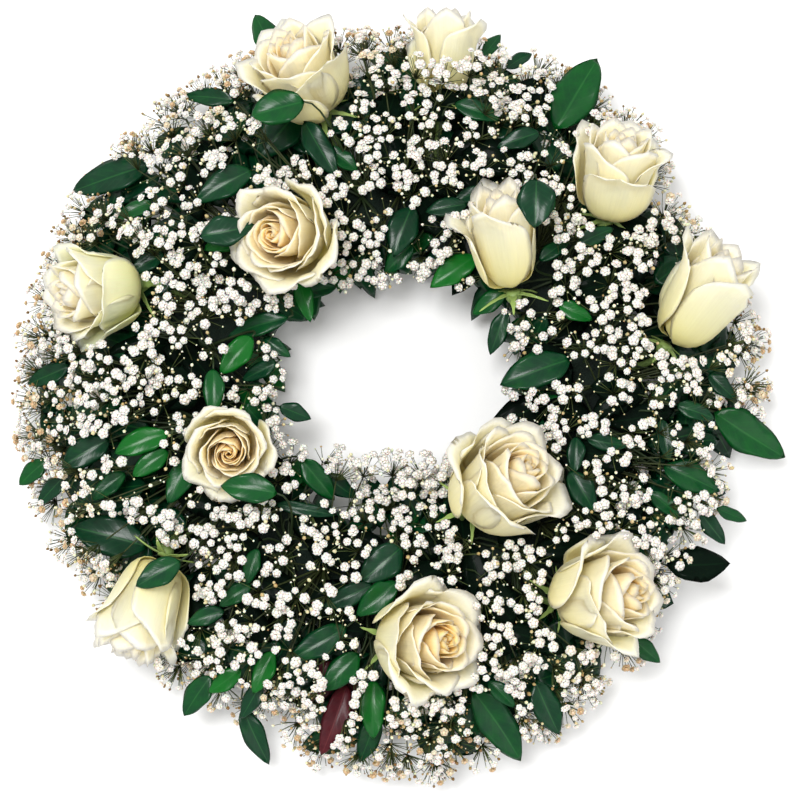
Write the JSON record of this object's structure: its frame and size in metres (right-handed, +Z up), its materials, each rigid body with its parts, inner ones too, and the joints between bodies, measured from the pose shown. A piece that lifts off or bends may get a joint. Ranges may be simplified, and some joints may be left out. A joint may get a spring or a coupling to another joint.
{
  "type": "funeral wreath",
  "caption": "Round funeral wreath lying flat: cream roses, white gypsophila and glossy green leaves in a foam ring on a green plastic tray.",
  "frame": {"origin": "centre of the wreath's outline on the surface that it lies on", "axes": "+Z up out of the flowers, +X to the right and +Y to the far side as the picture shows them"},
  "size_m": [0.5049, 0.5157, 0.1443],
  "materials": {
    "tray_plastic": "satin",
    "foam": "matte",
    "rose_petal": "satin",
    "rose_green": "satin",
    "leaf": "gloss",
    "leaf_maroon": "satin",
    "floret": "matte"
  },
  "bodies": {
    "root": {"base_tray": "tray_plastic", "floral_foam": "foam", "rose_upper_left_bloom": "rose_petal", "rose_upper_left_stem": "rose_green", "rose_inner_upper_left_bloom": "rose_petal", "rose_inner_upper_left_stem": "rose_green", "rose_top_bloom": "rose_petal", "rose_top_stem": "rose_green", "rose_upper_right_bloom": "rose_petal", "rose_upper_right_stem": "rose_green", "rose_inner_upper_right_bloom": "rose_petal", "rose_inner_upper_right_stem": "rose_green", "rose_right_bloom": "rose_petal", "rose_right_stem": "rose_green", "rose_left_bloom": "rose_petal", "rose_left_stem": "rose_green", "rose_inner_left_bloom": "rose_petal", "rose_inner_left_stem": "rose_green", "rose_inner_lower_right_bloom": "rose_petal", "rose_inner_lower_right_stem": "rose_green", "rose_bottom_bloom": "rose_petal", "rose_bottom_stem": "rose_green", "rose_lower_right_bloom": "rose_petal", "rose_lower_right_stem": "rose_green", "rose_lower_left_bloom": "rose_petal", "rose_lower_left_stem": "rose_green", "leaf_sprig_01": "leaf", "leaf_sprig_02": "leaf", "leaf_sprig_03": "leaf", "leaf_sprig_04": "leaf", "leaf_sprig_05": "leaf", "leaf_sprig_06": "leaf", "leaf_sprig_07": "leaf", "leaf_sprig_08": "leaf", "leaf_sprig_09": "leaf", "leaf_sprig_10": "leaf", "leaf_sprig_11": "leaf", "leaf_sprig_12": "leaf", "leaf_sprig_13": "leaf", "leaf_sprig_14": "leaf", "leaf_sprig_15": "leaf", "leaf_sprig_16": "leaf", "maroon_leaf": "leaf_maroon", "gypsophila_spray_01": "floret", "gypsophila_spray_02": "floret", "gypsophila_spray_03": "floret", "gypsophila_spray_04": "floret", "gypsophila_spray_05": "floret", "gypsophila_spray_06": "floret", "gypsophila_spray_07": "floret", "gypsophila_spray_08": "floret", "gypsophila_spray_09": "floret", "gypsophila_spray_10": "floret", "gypsophila_spray_11": "floret", "gypsophila_spray_12": "floret", "gypsophila_spray_13": "floret", "gypsophila_spray_14": "floret", "gypsophila_spray_15": "floret", "gypsophila_spray_16": "floret"}
  },
  "joints": []
}
